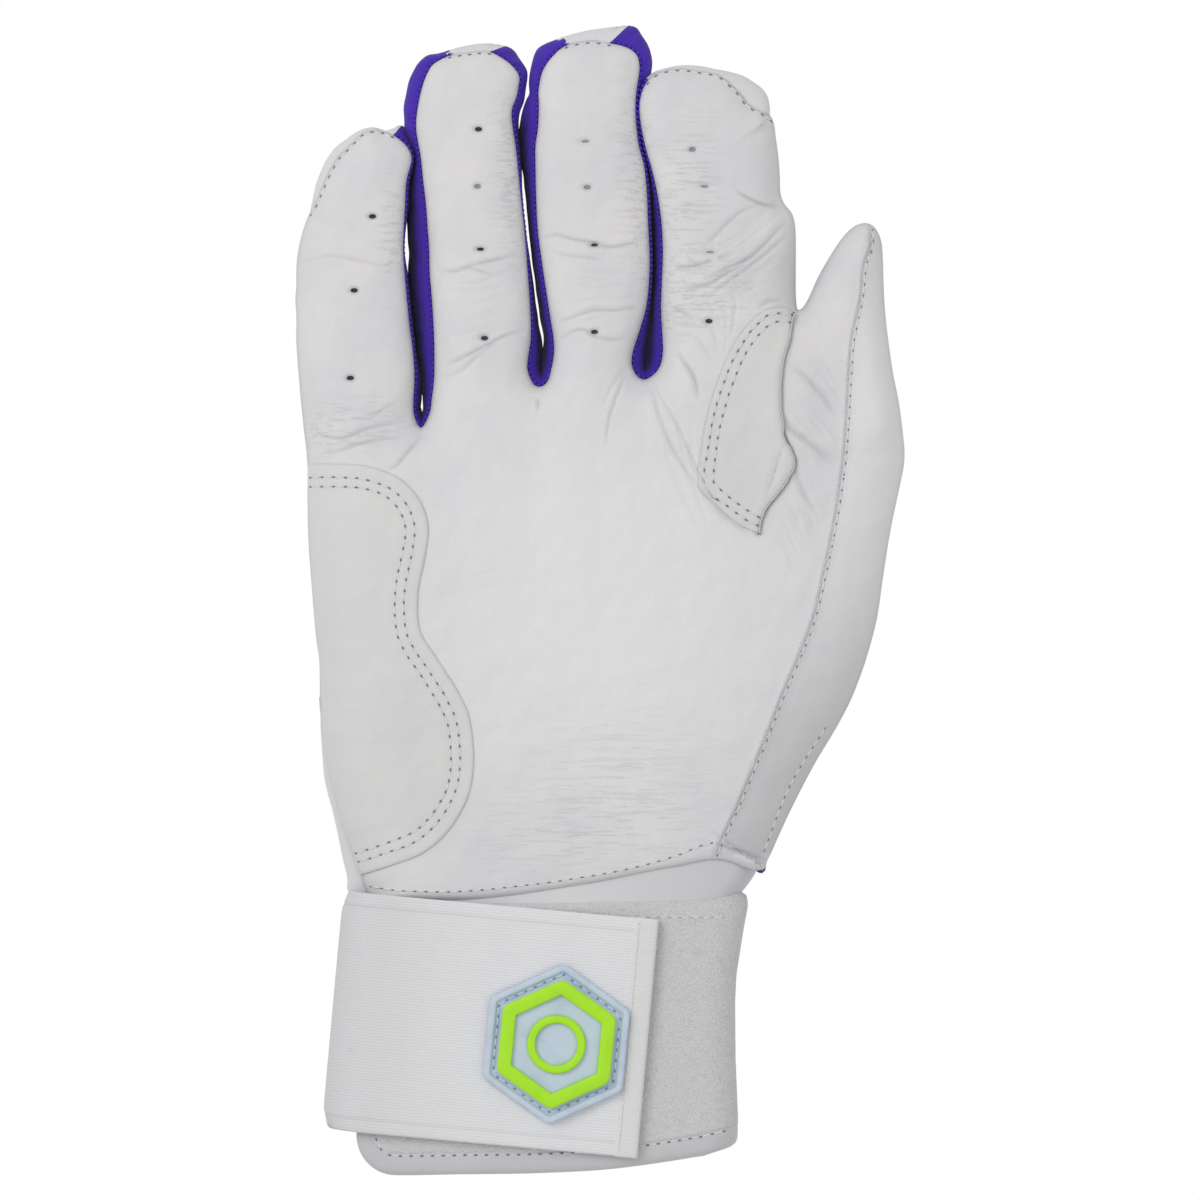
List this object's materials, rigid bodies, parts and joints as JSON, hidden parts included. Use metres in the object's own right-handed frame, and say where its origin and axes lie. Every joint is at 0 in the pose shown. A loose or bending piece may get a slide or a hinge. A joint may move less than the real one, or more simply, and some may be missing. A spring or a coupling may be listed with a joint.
{
  "type": "batting glove",
  "caption": "Right-hand leather batting glove with stretch finger gussets, a padded heel overlay and a broad elastic wrist strap that closes with hook and loop.",
  "frame": {"origin": "middle of the glove's bounding box in plan, on the surface that its back lies on", "axes": "+Y from the cuff to the fingertips, +X towards the thumb, +Z out of the palm"},
  "size_m": [0.1302, 0.2464, 0.0224],
  "materials": {
    "leather": "soft white goatskin with fine creases",
    "overlay_leather": "smooth white leather, double stitched",
    "stretch_purple": "matt purple stretch knit",
    "cuff_leather": "satin white synthetic leather over foam",
    "loop_pile": "light grey looped pile",
    "hook_tape": "white hook tape",
    "elastic": "white woven elastic, fine ribs",
    "end_tape": "warm white folded tape",
    "badge_grey": "satin pale blue-grey moulded rubber",
    "badge_lime": "satin lime moulded rubber"
  },
  "bodies": {
    "little_finger": {"little_front": "leather", "little_back": "leather", "little_flex_insert": "stretch_purple", "little_gusset_right": "stretch_purple"},
    "ring_finger": {"ring_front": "leather", "ring_back": "leather", "ring_flex_insert": "stretch_purple", "ring_gusset_left": "stretch_purple", "ring_gusset_right": "stretch_purple"},
    "middle_finger": {"middle_front": "leather", "middle_back": "leather", "middle_flex_insert": "stretch_purple", "middle_gusset_left": "stretch_purple", "middle_gusset_right": "stretch_purple"},
    "index_finger": {"index_front": "leather", "index_back": "leather", "index_flex_insert": "stretch_purple", "index_gusset_left": "stretch_purple"},
    "thumb_tip": {"thumb_front": "leather", "thumb_back": "leather"},
    "strap": {"strap_band": "elastic", "strap_hook_pad": "hook_tape", "strap_end_tab": "end_tape", "badge_plate": "badge_grey", "badge_frame": "badge_lime", "badge_ring": "badge_lime"},
    "hand": {"palm_panel": "leather", "thumb_side_panel": "leather", "back_panel": "leather", "back_wrist_insert": "stretch_purple", "heel_overlay": "overlay_leather", "thumb_crotch_overlay": "overlay_leather", "web_gusset_little_ring": "stretch_purple", "web_gusset_ring_middle": "stretch_purple", "web_gusset_middle_index": "stretch_purple", "cuff_sleeve": "cuff_leather", "cuff_loop_panel": "loop_pile", "cuff_binding": "cuff_leather", "strap_root": "elastic"}
  },
  "joints": [
    {"name": "little_flex", "type": "hinge", "parent": "hand", "child": "little_finger", "pos_m": [-0.05113, 0.04547, 0.014], "axis": [1, 0, 0], "range_deg": [0, 80]},
    {"name": "ring_flex", "type": "hinge", "parent": "hand", "child": "ring_finger", "pos_m": [-0.02454, 0.05405, 0.014], "axis": [1, 0, 0], "range_deg": [0, 80]},
    {"name": "middle_flex", "type": "hinge", "parent": "hand", "child": "middle_finger", "pos_m": [0.00106, 0.05603, 0.014], "axis": [1, 0, 0], "range_deg": [0, 80]},
    {"name": "index_flex", "type": "hinge", "parent": "hand", "child": "index_finger", "pos_m": [0.02847, 0.05603, 0.014], "axis": [1, 0, 0], "range_deg": [0, 80]},
    {"name": "thumb_flex", "type": "hinge", "parent": "hand", "child": "thumb_tip", "pos_m": [0.054, 0.03402, 0.0155], "axis": [1, 0, 0], "range_deg": [0, 55]},
    {"name": "strap_open", "type": "hinge", "parent": "hand", "child": "strap", "pos_m": [-0.05727, -0.08697, 0.0096], "axis": [-0.0976, -0.9952, 0], "range_deg": [0, 150]}
  ]
}
